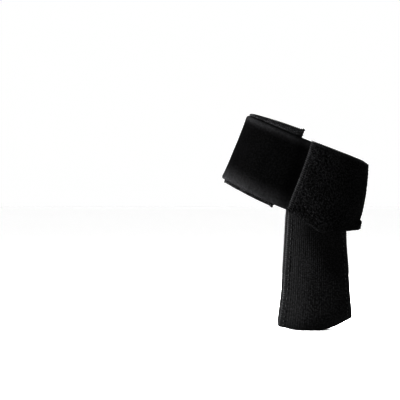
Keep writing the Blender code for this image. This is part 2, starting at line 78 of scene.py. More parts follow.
SOLE_FLAT_FRONT, SOLE_FLAT_REAR = -0.0030, 0.0020  # the cloth is rounder here than the CAD model
SOLE_FRONT_RISE, SOLE_REAR_RISE, SOLE_FLAT_HALF_WIDTH = 0.0030, 0.0103, 0.0170
SOLE_REAR_POWER, SOLE_FRONT_POWER = 2.0, 1.7  # how late the sole turns up behind and in front
FRONT_TOE_OUT = 0.0014  # how far the stirrup's front edge spreads just above the sole
HEEL_CORNER_HEIGHT, HEEL_HALF_WIDTH, HEEL_SIDE_FLARE = 0.0270, 0.0367, 0.030
HEEL_ROUND_FROM, HEEL_BACK, HEEL_POWER = -0.0020, 0.0465, 2.1
BLEND_LOW, BLEND_HIGH, EASE_FROM_DOWN = 0.0950, 0.0600, 0.0585
REARMOST_SHARE, EASE_FROM_SHARE = 0.95, 0.65
SOLE_SHARE, CORNER_SHARE = 0.14, 0.38


# ---- numbers ----
def mix(first, second, share):
    return first + (second - first) * share


def smooth(value, start, end):
    share = np.clip((value - start) / (end - start), 0.0, 1.0)
    return share * share * (3.0 - 2.0 * share)


def unit(vectors):
    return vectors / np.maximum(np.linalg.norm(vectors, axis=-1, keepdims=True), 1e-12)


def noise(points, size, seed):
    """Smooth noise from -1 to 1, with features of about `size` metres."""
    cell = np.floor(points / size)
    part = points / size - cell
    part = part * part * (3.0 - 2.0 * part)
    total = np.zeros(points.shape[:-1])
    for corner in itertools.product((0.0, 1.0), repeat=3):
        key = np.sin((cell + corner) @ np.array((12.9898, 78.233, 37.719)) + seed) * 43758.5453
        weight = np.prod(np.where(np.array(corner) > 0.5, part, 1.0 - part), axis=-1)
        total += weight * (2.0 * (key - np.floor(key)) - 1.0)
    return total


# ---- the leg ----
def leg_section(down, out):
    back = CALF_BACK + CALF_FLARE * down - CALF_BEND * down * down
    return (
        back + SHIN_FRONT
    ) / 2, (back - SHIN_FRONT) / 2 + out, ANKLE_HALF_WIDTH + MALLEOLUS_FLARE * down + out


def section_width(share, half_width):
    roundness = np.maximum(0.0, 1.0 - np.abs(share) ** SECTION_POWER) ** (1.0 / SECTION_POWER)
    return half_width * (1.0 - EGG * share) * roundness


def leg(turn, down, out):
    turn, down, out = np.broadcast_arrays(turn, down, out)
    middle, half_depth, half_width = leg_section(down, out)
    share = np.cos(turn)
    side = np.where(np.sin(turn) > 0.0, -1.0, 1.0)
    behind = middle + half_depth * share
    across = side * section_width(share, half_width)
    return CUFF_TOP - UP_SHIN * down[..., None] + BACKWARD * behind[..., None] + MEDIAL * across[..., None]


def lateral_turn(behind, down, out):
    middle, half_depth, _ = leg_section(down, out)
    return np.arccos(np.clip((behind - middle) / half_depth, -1.0, 1.0))


def medial_turn(behind, down, out):
    return 2 * math.pi - lateral_turn(behind, down, out)


SEAM_FORWARD = 0.0016  # how much further forward the cuff's front line lies low down


def seam_behind(down):
    return SEAM_AT + SEAM_SLOPE * down - SEAM_FORWARD * smooth(down, 0.015, 0.055)


def cuff_bottom(turn):
    return CUFF_BOTTOM_EDGE - CUFF_REAR_LIFT * np.maximum(0.0, np.cos(turn)) ** 3


def arc_turn(length, out=0.0):
    return length / (ANKLE_HALF_WIDTH + 0.010 + out)


# ---- the stirrup ----
def heel_half_width(forward, height):
    share = np.clip((forward - HEEL_ROUND_FROM) / (HEEL_BACK - HEEL_ROUND_FROM), 0.0, 0.999)
    roundness = (1.0 - share**HEEL_POWER) ** (1.0 / HEEL_POWER)
    return (HEEL_HALF_WIDTH + HEEL_SIDE_FLARE * (height - HEEL_CORNER_HEIGHT)) * roundness


def side_half_width(forward, height):
    zero = forward * 0.0
    place = np.stack((forward, zero, height + zero), axis=-1) - CUFF_TOP
    down = -place @ UP_SHIN
    middle, half_depth, half_width = leg_section(down, STIRRUP_OUT)
    share = (place @ BACKWARD - middle) / half_depth
    room = REARMOST_SHARE - EASE_FROM_SHARE
    eased = EASE_FROM_SHARE + room * np.tanh((share - EASE_FROM_SHARE) / room)
    eased = mix(share, eased, smooth(down, EASE_FROM_DOWN, BLEND_HIGH + 0.02))
    share = np.where(share < EASE_FROM_SHARE, share, eased)
    on_leg = section_width(share, half_width)
    return mix(on_leg, heel_half_width(forward, height), smooth(down, BLEND_HIGH, BLEND_LOW))


def stirrup_forward(across, height, inset):
    toe_out = FRONT_TOE_OUT * (1.0 - smooth(height, 0.0, 0.014))
    front = STIRRUP_FRONT + STIRRUP_FRONT_SLOPE * height + inset - toe_out
    rear = STIRRUP_REAR + STIRRUP_REAR_SLOPE * height - inset
    return mix(front, rear, across)


def stirrup_outer(across, along, inset, tops):
    across, along, inset = np.broadcast_arrays(across, along, inset)
    side, reach = np.where(along < 0.0, -1.0, 1.0), np.abs(along)
    forward = stirrup_forward(across, 0.0, inset)
    past = np.maximum(forward - SOLE_FLAT_REAR, 0.0) / (STIRRUP_REAR - SOLE_FLAT_REAR)
    ahead = np.maximum(SOLE_FLAT_FRONT - forward, 0.0) / (SOLE_FLAT_FRONT - STIRRUP_FRONT)
    sole = SOLE_REAR_RISE * past**SOLE_REAR_POWER + SOLE_FRONT_RISE * ahead**SOLE_FRONT_POWER
    corner = stirrup_forward(across, HEEL_CORNER_HEIGHT, inset)
    wide = side_half_width(corner, HEEL_CORNER_HEIGHT)
    flat = SOLE_FLAT_HALF_WIDTH * wide / HEEL_HALF_WIDTH
    turn = np.clip((reach - SOLE_SHARE) / (CORNER_SHARE - SOLE_SHARE), 0.0, 1.0) * math.pi / 2
    rise = 1.0 - np.cos(turn)
    up = np.maximum(reach - CORNER_SHARE, 0.0) / (1.0 - CORNER_SHARE)
    height = mix(HEEL_CORNER_HEIGHT, mix(*tops, across), up)
    high = stirrup_forward(across, height, inset)
    under, round_it = reach < SOLE_SHARE, reach < CORNER_SHARE
    x = np.where(round_it, mix(forward, corner, rise), high)
    above = np.where(round_it, mix(flat, wide, np.sin(turn)), side_half_width(high, height))
    y = np.where(under, flat * reach / SOLE_SHARE, above)
    z = np.where(round_it, mix(sole, HEEL_CORNER_HEIGHT, rise), height)
    return np.stack((x, side * y, z), axis=-1)


def stirrup(across, along, lift, inset, tops):
    """A point `lift` outside the stirrup's outer face."""

    def outer(across, along):
        return stirrup_outer(across, along, inset, tops)

    small = 0.0005
    ahead = outer(across + small, along) - outer(across - small, along)
    up = outer(across, along + small) - outer(across, along - small)
    outward = -unit(np.cross(ahead, up))
    return outer(across, along) + outward * np.asarray(lift)[..., None]


# ---- meshes ----
def new_piece(name, points, faces, made_of, cloth=None, wear_and_painted_light=None):
    """A smooth mesh piece that faces out, with coincident points made one."""
    mesh = bpy.data.meshes.new(name)
    mesh.vertices.add(len(points))
    mesh.vertices.foreach_set("co", np.asarray(points, np.float32).ravel())
    sizes = np.array([len(face) for face in faces])
    mesh.loops.add(int(sizes.sum()))
    corners = np.concatenate([np.asarray(face) for face in faces])
    mesh.loops.foreach_set("vertex_index", corners.astype(np.int32))
    mesh.polygons.add(len(faces))
    mesh.polygons.foreach_set("loop_start", (np.cumsum(sizes) - sizes).astype(np.int32))
    mesh.update(calc_edges=True)
    put_attribute(mesh, "cloth", "FLOAT_VECTOR", points if cloth is None else cloth)
    put_attribute(mesh, "wear_and_painted_light", "FLOAT", np.zeros(len(points)) if wear_and_painted_light is None else wear_and_painted_light)
    shape = bmesh.new()
    shape.from_mesh(mesh)
    bmesh.ops.remove_doubles(shape, verts=shape.verts, dist=2e-7)
    if shape.calc_volume(signed=True) < 0.0:
        bmesh.ops.reverse_faces(shape, faces=shape.faces)
    shape.to_mesh(mesh)
    shape.free()
    mesh.shade_smooth()
    mesh.set_sharp_from_angle(angle=math.radians(60.0))
    piece = bpy.data.objects.new(name, mesh)
    piece.data.materials.append(made_of)
    bpy.context.scene.collection.objects.link(piece)
    return piece


SWELL_SCALE = 10.0  # cloth is simulated ten times larger, where the solver is steady
SWELL_PRESSURE, SWELL_FRAMES = 4.0, 20


def swell(piece, most, held=0.3):
    """Blows a padded piece up as sewn cloth, held along its rim, moving no point more than `most` metres."""
    mesh = piece.data
    start = np.empty(len(mesh.vertices) * 3, np.float32)
    mesh.vertices.foreach_get("co", start)
    wear_and_painted_light = np.empty(len(mesh.vertices), np.float32)
    mesh.attributes["wear_and_painted_light"].data.foreach_get("value", wear_and_painted_light)
    model = bpy.data.objects.new(piece.name + "_swelling", mesh.copy())
    model.data.vertices.foreach_set("co", start * SWELL_SCALE)
    bpy.context.scene.collection.objects.link(model)
    rim = model.vertex_groups.new(name="rim")
    rim.add([int(number) for number in np.nonzero(wear_and_painted_light > held)[0]], 1.0, "REPLACE")
    cloth = model.modifiers.new("cloth", "CLOTH")
    cloth.settings.quality = 6
    cloth.settings.use_pressure = True
    cloth.settings.uniform_pressure_force = SWELL_PRESSURE
    cloth.settings.effector_weights.gravity = 0.0
    cloth.settings.vertex_group_mass = "rim"
    cloth.collision_settings.use_collision = False
    for moment in range(1, SWELL_FRAMES + 1):
        bpy.context.scene.frame_set(moment)
    swollen = model.evaluated_get(bpy.context.evaluated_depsgraph_get()).data
    end = np.empty_like(start)
    swollen.vertices.foreach_get("co", end)
    bpy.data.objects.remove(model)
    bpy.context.scene.frame_set(1)
    move = (end / SWELL_SCALE - start).reshape(-1, 3)
    far = np.maximum(np.linalg.norm(move, axis=1, keepdims=True), 1e-9)
    move *= most * np.tanh(far / most) / far
    mesh.vertices.foreach_set("co", (start.reshape(-1, 3) + move).ravel())
    mesh.update()


def put_attribute(mesh, name, kind, values):
    attribute = mesh.attributes.new(name, kind, "POINT")
    field = "vector" if kind == "FLOAT_VECTOR" else "value"
    attribute.data.foreach_set(field, np.asarray(values, np.float32).ravel())


def spaced(length, cell, rim, ends=(True, True)):
    """Places from 0 to 1 along `length` metres, close together within `rim` metres of a rounded end."""
    fine = rim * np.array((0.0, 0.04, 0.16, 0.36, 0.64))
    low = fine if ends[0] else np.zeros(0)
    high = length - fine[::-1] if ends[1] else np.zeros(0)
    start, stop = (rim if ends[0] else 0.0), (length - rim if ends[1] else length)
    middle = np.linspace(start, stop, max(2, round((stop - start) / cell) + 1))
    return np.concatenate((low, middle, high)) / length


def rounding(distance, radius):
    """The share of its full thickness that a rounded edge has at a distance from it."""
    gone = 1.0 - np.clip(distance / radius, 0.0, 1.0)
    return np.sqrt(np.maximum(0.0, 1.0 - gone * gone))


def border(us, vs, size):
    """A grid of places, with each one's distance in metres from its nearer u end and nearer v end."""
    u, v = np.meshgrid(us, vs, indexing="ij")
    du = np.minimum(u * size[0], (1.0 - u) * size[0])
    dv = np.minimum(v * size[1], (1.0 - v) * size[1])
    return u, v, du, dv


def grid_faces(first, rows, columns, flip):
    """Quads over a grid of point numbers that starts at `first`."""
    index = first + np.arange(rows * columns).reshape(rows, columns)
    corners = (index[:-1, :-1], index[1:, :-1], index[1:, 1:], index[:-1, 1:])
    quads = np.stack(corners, axis=-1).reshape(-1, 4)
    return quads[:, ::-1] if flip else quads


def rim_faces(rows, columns):
    """Quads that join the borders of two grids of points, one numbered after the other."""
    index = np.arange(rows * columns).reshape(rows, columns)
    ring = np.concatenate((index[:, 0], index[-1, 1:], index[-2::-1, -1], index[0, -2:0:-1]))
    after = np.roll(ring, -1)
    other = rows * columns
    return np.stack((after, ring, ring + other, after + other), axis=-1)


def slab(name, outer, inner, flat, wear_and_painted_light, made_of):
    """A closed piece between two grids of points, given each point's place on the flat cloth and its mask of
    wear and painted light.
    """
    rows, columns = wear_and_painted_light.shape
    points = np.concatenate((outer.reshape(-1, 3), inner.reshape(-1, 3)))
    flat = flat.reshape(-1, 3)
    cloth = np.concatenate((flat, flat + (0.0, 0.0, 0.5)))
    outer_faces = grid_faces(0, rows, columns, False)
    inner_faces = grid_faces(rows * columns, rows, columns, True)
    faces = np.concatenate((outer_faces, inner_faces, rim_faces(rows, columns)))
    return new_piece(name, points, faces, made_of, cloth, np.tile(wear_and_painted_light.reshape(-1), 2))


RUBBED_AND_SHEEN_RIM, PAINTED_LIGHT_SHARE = 0.0025, 0.70  # how far in a panel's rim is coloured lighter, as rubbed wear with painted sheen, and how much painted light a margin gets


def panel(name, place, us, vs, size, low, high, made_of, painted_light=0.0):
    """A closed piece of cloth or foam between two lifts over place(u, v, lift); its rim is coloured lighter
    as rubbed wear with painted sheen, and the last argument adds painted light to its margins.
    """
    u, v, du, dv = border(us, vs, size)
    flat = np.stack((u * size[0], v * size[1], u * 0.0), axis=-1)
    near = 1.0 - np.clip(np.minimum(du, dv) / RUBBED_AND_SHEEN_RIM, 0.0, 1.0)
    return slab(name, place(u, v, high), place(u, v, low), flat, np.maximum(near, painted_light), made_of)


def tubes(name, paths, around, radius, sides, made_of):
    """Threads in one mesh: paths (threads, points, 3), with `around` a direction never along the thread."""
    count, length, _ = paths.shape
    tangent = unit(np.gradient(paths, axis=1))
    side = unit(np.cross(tangent, around))
    up = np.cross(side, tangent)
    angles = np.arange(sides) * 2 * math.pi / sides
    radius = np.broadcast_to(radius, (count, length))[..., None, None]
    ring = side[:, :, None] * np.cos(angles)[:, None] + up[:, :, None] * np.sin(angles)[:, None]
    points = (paths[:, :, None] + radius * ring).reshape(-1, 3)
    index = np.arange(count * length * sides).reshape(count, length, sides)
    ahead = np.roll(index, -1, axis=2)
    quads = np.stack((index[:, :-1], ahead[:, :-1], ahead[:, 1:], index[:, 1:]), axis=-1).reshape(-1, 4)
    caps = np.concatenate((index[:, 0, ::-1], index[:, -1]))
    steps = np.linalg.norm(np.diff(paths, axis=1), axis=2)
    run = np.concatenate((np.zeros((count, 1)), np.cumsum(steps, axis=1)), axis=1)
    number = np.broadcast_to(np.arange(count)[:, None, None] * 0.013, index.shape)
    lengthwise = np.broadcast_to(run[..., None], index.shape) + number
    round_it = np.broadcast_to(angles / (2 * math.pi) * 0.001, index.shape)
    cloth = np.stack((lengthwise, round_it, number), axis=-1)
    return new_piece(name, points, list(quads) + list(caps), made_of, cloth.reshape(-1, 3))


TURN_POINTS, THREAD_SIDES = 12, 5  # points in a thread's turn, and round the thread


def whip(name, edge, length, centre, half, pitch, radius, made_of, span=(0.0, 1.0)):
    """Overlock thread wound round a cloth's edge. edge(t, inward, lift) gives the edge's surroundings."""
    turns = max(2, round(length * (span[1] - span[0]) / pitch))
    angle = np.linspace(0.0, turns * 2 * math.pi, turns * TURN_POINTS + 1)
    t = mix(span[0], span[1], angle / angle[-1])
    inward = centre[0] - half[0] * np.cos(angle)
    lift = centre[1] + half[1] * np.sin(angle)
    path = edge(t, inward, lift)
    around = path - edge(t, inward * 0.0 + centre[0], lift * 0.0 + centre[1])
    return tubes(name, path[None], around[None], radius, THREAD_SIDES, made_of)


def running(name, line, length, pitch, share, radius, rise, made_of):
    """A row of separate stitches. line(t, lift) runs along the seam."""
    count = max(2, round(length / pitch))
    starts = (np.arange(count) + 0.5 * (1.0 - share)) / count
    within = np.linspace(0.0, 1.0, 6)
    t = starts[:, None] + within * share / count
    pull = np.random.RandomState(count).uniform(-0.2, 1.0, count)[:, None]
    lift = rise * pull * np.sin(within * math.pi) ** 0.6 + 0.0 * t
    path = line(t, lift)
    around = line(t, lift + 0.001) - path
    return tubes(name, path, around, radius, THREAD_SIDES, made_of)


# ---- materials ----
def node(tree, kind, links=None, **settings):
    """A shader node; links give each input's value or the socket that drives it."""
    made = tree.nodes.new(kind)
    for key, value in settings.items():
        setattr(made, key, value)
    for key, value in (links or {}).items():
        if isinstance(value, bpy.types.NodeSocket):
            tree.links.new(value, made.inputs[key])
        else:
            made.inputs[key].default_value = value
    return made


def period(metres):
    """A wave texture's scale for bands `metres` apart."""
    return 2 * math.pi / (20.0 * metres)


def stretched(tree, vector, scale):
    return node(tree, "ShaderNodeVectorMath", {0: vector, 1: scale}, operation="MULTIPLY").outputs[0]


def noise_height(tree, vector, size, detail=2.0, rough=0.5):
    links = {"Vector": vector, "Scale": 1.0 / size, "Detail": detail, "Roughness": rough}
    return node(tree, "ShaderNodeTexNoise", links).outputs["Fac"]


def wave_height(tree, vector, metres, axis, distortion=0.6, detail_size=1.2):
    links = {"Vector": vector, "Scale": period(metres), "Distortion": distortion, "Detail Scale": detail_size}
    bands = {"wave_type": "BANDS", "bands_direction": axis, "wave_profile": "SIN"}
    return node(tree, "ShaderNodeTexWave", links, **bands).outputs["Fac"]


def cell_height(tree, vector, size):
    links = {"Vector": vector, "Scale": 1.0 / size, "Randomness": 1.0}
    return node(tree, "ShaderNodeTexVoronoi", links, feature="F1", distance="EUCLIDEAN").outputs["Distance"]


def math_node(tree, operation, first, second):
    return node(tree, "ShaderNodeMath", {0: first, 1: second}, operation=operation).outputs[0]


def between(tree, share, first, second):
    """A colour part of the way from one to another."""
    return node(tree, "ShaderNodeMix", {0: share, 6: first, 7: second}, data_type="RGBA").outputs[2]


def carried(tree, value, start, end, low, high):
    """A value carried from the range start..end to the range low..high."""
    links = {"Value": value, "From Min": start, "From Max": end, "To Min": low, "To Max": high}
    return node(tree, "ShaderNodeMapRange", links).outputs["Result"]


def attribute(tree, name, output):
    made = node(tree, "ShaderNodeAttribute", attribute_type="GEOMETRY", attribute_name=name)
    return made.outputs[output]


def grey(level, blue):
    """A dark cloth's colour, whose blue is a little stronger."""
    return level, level, blue


LINT_COLOUR = (0.10, 0.10, 0.105, 1.0)
FIBRE_TINT = (0.86, 0.88, 0.95, 1.0)


def loops(tree, vector):
    """Tangled loops of unbroken-loop pile."""
    curl = cell_height(tree, vector, 0.0011)
    fine = noise_height(tree, vector, 0.0004, 2.0)
    return math_node(tree, "ADD", curl, fine), 0.00038


def jersey(tree, vector):
    """Fine knit: wales along the strap and courses across it."""
    wales = wave_height(tree, vector, 0.00085, "Y", 0.5)
    courses = wave_height(tree, vector, 0.00062, "X", 0.9)
    return math_node(tree, "MULTIPLY", wales, courses), 0.00012


def webbing(tree, vector):
    """Weft picks across the woven ribs."""
    picks = wave_height(tree, vector, 0.00075, "Y", 1.1)
    strands = wave_height(tree, vector, 0.00042, "X", 0.7)
    return math_node(tree, "ADD", picks, math_node(tree, "MULTIPLY", strands, 0.5)), 0.00013


def foam(tree, vector):
    return math_node(
        tree, "ADD", cell_height(tree, vector, 0.0006), noise_height(tree, vector, 0.0003)
    ), 0.00016


def brushed(tree, vector):
    """Short nap combed one way."""
    nap = noise_height(tree, stretched(tree, vector, (1.0, 0.28, 1.0)), 0.0005, 3.0, 0.6)
    return math_node(tree, "ADD", nap, noise_height(tree, vector, 0.0024)), 0.00022


def twist(tree, vector):
    """Two plies twisted together."""
    return wave_height(tree, stretched(tree, vector, (1.0, 0.55, 0.0)), 0.00055, "DIAGONAL", 0.2), 0.00012


def tape(tree, vector):
    return math_node(
        tree, "MULTIPLY", wave_height(tree, vector, 0.0009, "X"), wave_height(tree, vector, 0.0009, "Y")
    ), 0.00012


def cloth_material(name, dark, light, worn_and_lit, weave, roughness, sheen, sheen_roughness, specular, lint=0.0):
    """Cloth with mottled colour, a lighter worn colour where the wear mask is high (rubbed rims, painted
    sheen and painted light), fibre lint, and a weave that changes its roughness and, as painted shade,
    darkens its low places.
    """
    made = bpy.data.materials.new(name)
    made.use_nodes = True
    tree = made.node_tree
    shader = tree.nodes["Principled BSDF"]
    place = attribute(tree, "cloth", "Vector")
    wear_and_light = attribute(tree, "wear_and_painted_light", "Fac")
    height, depth = weave(tree, place)
    patchy = noise_height(tree, place, 0.016, 2.0, 0.5)
    grain = noise_height(tree, place, 0.0014, 2.0, 0.6)
    patches = math_node(tree, "MULTIPLY", patchy, 0.18)
    shade = math_node(tree, "ADD", patches, math_node(tree, "MULTIPLY", grain, 0.82))
    tone = carried(tree, shade, 0.44, 0.61, 0.0, 1.0)
    # Painted shade: the weave's low places are coloured darker, as if shaded.
    raised = math_node(tree, "ADD", math_node(tree, "MULTIPLY", height, 0.8), 0.35)
    tone = math_node(tree, "MULTIPLY", tone, raised)
    cloth = between(tree, tone, (*dark, 1.0), (*light, 1.0))
    # Painted light: the wear mask brings in the lighter worn colour, both for rubbed rims and for painted
    # sheen and highlights.
    scuff_and_light = math_node(tree, "MULTIPLY", wear_and_light, noise_height(tree, place, 0.0022, 3.0, 0.7))
    cloth = between(tree, scuff_and_light, cloth, (*worn_and_lit, 1.0))
    if lint:
        fibre = noise_height(tree, stretched(tree, place, (1.0, 0.35, 1.0)), 0.0011, 1.0, 0.5)
        cloth = between(tree, carried(tree, fibre, 0.71, 0.76, 0.0, lint), cloth, LINT_COLOUR)
    tree.links.new(cloth, shader.inputs["Base Color"])
    rough = carried(tree, height, 0.0, 1.0, roughness[1], roughness[0])
    tree.links.new(rough, shader.inputs["Roughness"])
    shader.inputs["Sheen Weight"].default_value = sheen
    shader.inputs["Sheen Roughness"].default_value = sheen_roughness
    shader.inputs["Sheen Tint"].default_value = FIBRE_TINT
    shader.inputs["Specular IOR Level"].default_value = specular
    bump = node(tree, "ShaderNodeBump", {"Strength": 1.0, "Distance": depth, "Height": height})
    tree.links.new(bump.outputs["Normal"], shader.inputs["Normal"])
    return made


# Each material's third colour goes where the wear mask is high: on panel rims it is rubbed wear with painted
# sheen; on the strap's edge bands, the stirrup's front and the pad's margins it is painted light.
loop_cloth = cloth_material(
    "loop_cloth", grey(
        0.0020, 0.0021
    ), grey(0.0240, 0.0247), grey(0.050, 0.0515), loops, (0.92, 1.0), 0.0, 0.60, 0.02, 0.10
)
yarn = cloth_material(
    "yarn", grey(
        0.0070, 0.0072
    ), grey(0.0420, 0.0432), grey(0.060, 0.061), twist, (0.80, 0.95), 0.008, 0.50, 0.04
)
jersey_cloth = cloth_material(
    "jersey_cloth", grey(
        0.0015, 0.0016
    ), grey(0.0100, 0.0103), grey(0.0360, 0.0370), jersey, (0.72, 0.90), 0.004, 0.40, 0.02
)
webbing_cloth = cloth_material(
    "webbing_cloth", grey(
        0.0070, 0.0072
    ), grey(0.0250, 0.0257), grey(0.0440, 0.0450), webbing, (0.75, 0.92), 0.004, 0.45, 0.03, 0.05
)
foam_rubber = cloth_material(
    "foam_rubber", grey(
        0.0060, 0.0062
    ), grey(0.0160, 0.0165), grey(0.024, 0.0245), foam, (0.85, 0.98), 0.010, 0.50, 0.10
)
brushed_cloth = cloth_material(
    "brushed_cloth", grey(
        0.0085, 0.0090
    ), grey(0.0190, 0.0198), grey(0.032, 0.033), brushed, (0.85, 1.0), 0.050, 0.50, 0.06, 0.10
)
thread = cloth_material(
    "thread", grey(
        0.0200, 0.0206
    ), grey(0.0780, 0.0800), grey(0.060, 0.062), twist, (0.50, 0.75), 0.030, 0.40, 0.15
)
hook_plastic = cloth_material(
    "hook_plastic", grey(
        0.0020, 0.0021
    ), grey(0.0090, 0.0094), grey(0.0120, 0.0124), tape, (0.55, 0.75), 0.002, 0.40, 0.05
)


def settle(piece, body, *nodes):
    """The piece rides on a body and stands for CAD nodes, which are hidden."""
    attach(piece, body)
    if nodes:
        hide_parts(*nodes)


# ---- rear cuff ----
CUFF_LENGTH, CUFF_HEIGHT = 0.1450, 0.0550
CUFF_TOP_DOWN = 0.0008  # where the visible top edge lies
ROLL = 0.0012  # how far the cuff's face rolls in over its top edge


def cuff_turn(along, down, out):
    start = lateral_turn(seam_behind(down), down, out)
    end = -lateral_turn(seam_behind(down) + MEDIAL_EDGE_BACK, down, out)
    return mix(start, end, along)


def rearward(turn, power):
    """1 behind the heel cord, 0 from the sides forward."""
    return np.maximum(0.0, np.cos(turn)) ** power


def hem_half_height(turn):
    return 0.0013 + 0.0020 * rearward(turn, 6)


def hem_half_thickness(turn):
    return 0.0006 + 0.0012 * rearward(turn, 6)


def hem_out(turn):
    return 0.0064 + 0.0012 * rearward(turn, 6)


def hem_low_edge(turn):
    """The hem's lower edge: it hangs lowest over the stirrup, on both sides, and rises behind the heel."""
    over_stirrup = 0.0050 * np.exp(-(((np.abs(turn) - math.radians(57.0)) / math.radians(17.0)) ** 2))
    front = 0.0020 * smooth(np.abs(turn), math.radians(72.0), math.radians(90.0))
    return cuff_bottom(turn) + 0.0041 - 0.0022 * rearward(turn, 6) + over_stirrup - front


def hem_down(turn):
    """Where the middle of the hem lies."""
    return hem_low_edge(turn) - hem_half_height(turn)


def face_low_edge(turn):
    """The face covers the hem at the sides and ends on its middle behind the heel cord."""
    return hem_low_edge(turn) - hem_half_height(turn) * rearward(turn, 6)


def padding_low_edge(turn):
    """The padding behind the heel cord reaches below the hem."""
    return 0.0522 + 0.0038 * smooth(np.abs(turn), math.radians(8.0), math.radians(24.0))


def lining_low_edge(turn):
    side = cuff_bottom(turn) + 0.0010
    return mix(
        padding_low_edge(turn) - 0.0003, side, smooth(np.abs(turn), math.radians(20.0), math.radians(34.0))
    )


def cuff_place(along, height, out, low_edge=face_low_edge):
    """A point of the cuff: along it from its lateral edge, up it from its bottom, and out from the sock."""
    bottom = low_edge(cuff_turn(along, CUFF_BOTTOM_EDGE, FACE_OUT))
    down = mix(bottom, CUFF_TOP_DOWN, height)
    return leg(cuff_turn(along, down, out), down, out)


def rolled(distance, radius):
    """How far a layer has turned in, `distance` below a rolled edge."""
    gone = 1.0 - np.clip(distance / radius, 0.0, 1.0)
    return radius * (1.0 - np.sqrt(np.maximum(0.0, 1.0 - gone * gone)))


def cuff_face_out(along, height):
    """Middle of the cuff's face: crowned, rolled in at the top, held down where it is sewn."""
    lengthwise = np.sin(np.clip(along, 0, 1) * math.pi) ** 0.6
    crown = 0.0007 * lengthwise * np.sin(np.clip(height, 0, 1) * math.pi) ** 0.8
    top = rolled((1.0 - height) * CUFF_HEIGHT, ROLL)
    sewn = 0.0007 * (1.0 - smooth(np.minimum(along, 1.0 - along) * CUFF_LENGTH, 0.0, 0.0055))
    low = 0.0004 * (1.0 - smooth(height * CUFF_HEIGHT, 0.002, 0.010))
    return FACE_OUT + crown - top - sewn - low


def cuff_shell():
    size = (CUFF_LENGTH, CUFF_HEIGHT)
    us, vs = spaced(size[0], 0.0010, 0.0008), spaced(size[1], 0.0010, 0.0030)
    u, v, du, dv = border(us, vs, size)
    half = 0.0007 * rounding(du, 0.0007) * rounding(dv, 0.0007)
    middle = cuff_face_out(u, v)
    flat = np.stack((u * size[0], v * size[1], u * 0.0), axis=-1)
    pile = 0.00026 * noise(
        flat, 0.0013, 1.0
    ) + 0.00014 * noise(flat, 0.0006, 2.0) + 0.00030 * noise(flat, 0.009, 3.0)
    pile = pile * smooth(np.minimum(du, dv), 0.0, 0.0015)
    made = panel("cuff_shell", cuff_place, us, vs, size, middle - half, middle + half + pile, loop_cloth)
    settle(made, "brace", "rear_cuff_face")


def cuff_lining():
    size = (0.1260, 0.0510)
    us, vs = spaced(size[0], 0.0016, 0.0004), spaced(size[1], 0.0016, 0.0030)
    u, v, du, dv = border(us, vs, size)
    half = 0.0004 * rounding(du, 0.0004) * rounding(dv, 0.0004)
    flat = np.stack((u * size[0], v * size[1], u * 0.0), axis=-1)
    middle = 0.0006 + rolled((1.0 - v) * size[1], 0.0026) + 0.00022 * noise(flat, 0.011, 4.0)

    def place(along, height, out):
        return cuff_place(along, height, out, lining_low_edge)

    made = panel("cuff_lining", place, us, vs, size, middle - half, middle + half, brushed_cloth)
    settle(made, "brace", "rear_cuff_lining")


def stirrup_end_down(behind, clear):
    top = min(*STIRRUP_TOPS) + (STIRRUP_TOPS[1] - STIRRUP_TOPS[0])
    return (CUFF_TOP[2] - top + BACKWARD[2] * behind) / UP_SHIN[2] - clear


STIRRUP_TOPS = (0.0945, 0.0970)
CUFF_FOAM_OUT, CUFF_FOAM_THICKNESS = 0.00345, 0.0047


def cuff_foam_place(along, height, out):
    down = along * 0.0 + 0.01
    for _ in range(8):
        start = lateral_turn(seam_behind(down) - HINGE_AHEAD + ANCHOR_LENGTH + 0.0012, down, CUFF_FOAM_OUT)
        end = -lateral_turn(seam_behind(down) + MEDIAL_EDGE_BACK + 0.0030, down, CUFF_FOAM_OUT)
        turn = mix(start, end, along)
        middle, half_depth, _ = leg_section(down, CUFF_FOAM_OUT)
        bottom = stirrup_end_down(middle + half_depth * np.cos(turn), 0.0012)
        down = mix(bottom, 0.0030, height)
    return leg(turn, down, out)


def cuff_padding():
    size = (0.150, 0.033)
    us, vs = spaced(size[0], 0.0022, 0.0022), spaced(size[1], 0.0022, 0.0022)
    u, _, du, dv = border(us, vs, size)
    half = 0.43 * CUFF_FOAM_THICKNESS * rounding(du, 0.0026) * rounding(dv, 0.0026)
    middle = CUFF_FOAM_OUT + 0.0 * u
    made = panel("cuff_padding", cuff_foam_place, us, vs, size, middle - half, middle + half, foam_rubber)
    swell(made, 0.0003)
    settle(made, "brace", "rear_cuff_foam")


def achilles_padding():
    half_turn = math.radians(20.5)
    top = stirrup_end_down(CALF_BACK + 0.012, 0.0015) + 0.0012
    size = (0.027, 0.030)

    def place(along, height, out):
        turn = mix(half_turn, -half_turn, along)
        corner = 0.0026 * (1.0 - rounding(np.minimum(along, 1.0 - along) * size[0], 0.0040))
        return leg(turn, mix(padding_low_edge(turn) - corner, top, height), out)

    us, vs = spaced(size[0], 0.0015, 0.0020), spaced(size[1], 0.0015, 0.0020)
    u, _, du, dv = border(us, vs, size)
    half = 0.43 * CUFF_FOAM_THICKNESS * rounding(du, 0.0024) * rounding(dv, 0.0024)
    middle = CUFF_FOAM_OUT + 0.0 * u
    made = panel("achilles_padding", place, us, vs, size, middle - half, middle + half, foam_rubber)
    swell(made, 0.0003)
    settle(made, "brace", "achilles_foam")


def cuff_top_edge(t, inward, lift):
    down = CUFF_TOP_DOWN + inward
    out = 0.0038 + lift
    return leg(cuff_turn(t, down, FACE_OUT), down, out)


def cuff_lateral_edge(t, inward, lift):
    down = mix(CUFF_TOP_DOWN, CUFF_BOTTOM_EDGE + 0.0018, t)
    out = FACE_OUT - 0.0005 + lift
    return leg(lateral_turn(seam_behind(down) + inward, down, FACE_OUT), down, out)


